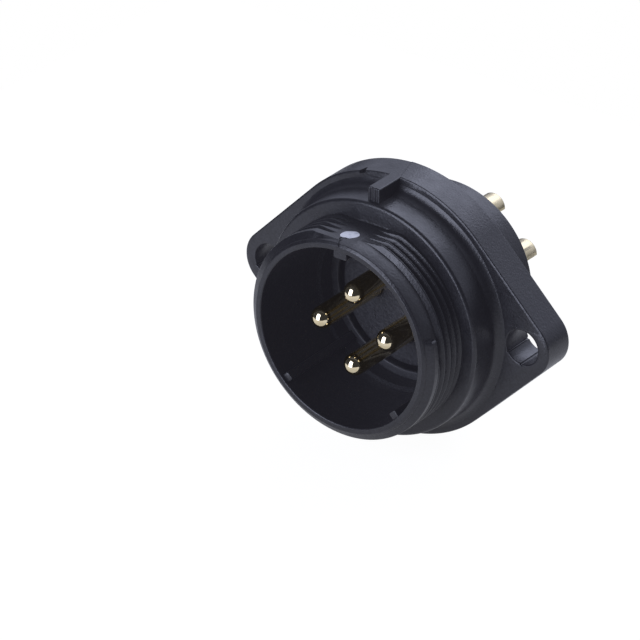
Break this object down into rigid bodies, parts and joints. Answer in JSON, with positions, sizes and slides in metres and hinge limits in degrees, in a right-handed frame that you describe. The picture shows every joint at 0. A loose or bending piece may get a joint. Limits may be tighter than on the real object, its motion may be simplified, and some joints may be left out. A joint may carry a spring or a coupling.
{
  "type": "circular connector panel receptacle",
  "caption": "Black circular power connector receptacle with a flat two-hole flange, a threaded keyed shroud, gold pins and solder cups.",
  "frame": {"origin": "on the connector's axis at the flange's rear mounting face", "axes": "-Y towards the mating side, +Y through the panel to the solder cups, +Z towards the orientation tab and main key, +X along the flange's long axis"},
  "size_m": [0.04, 0.0285, 0.0304],
  "materials": {
    "shell_black": "satin moulded glass-filled nylon",
    "insulator_black": "matt moulded, finely textured",
    "seal_rubber": "smooth rubber",
    "contact_gold": "gold plated, polished",
    "dot_white": "white paint"
  },
  "bodies": {
    "root": {"shell": "shell_black", "face_seal": "seal_rubber", "front_insulator": "insulator_black", "insert_seal": "seal_rubber", "rear_insulator": "insulator_black", "lock_ring": "shell_black", "contact_1": "contact_gold", "contact_2": "contact_gold", "contact_3": "contact_gold", "contact_4": "contact_gold", "panel_seal": "seal_rubber", "index_dot": "dot_white"}
  },
  "joints": []
}
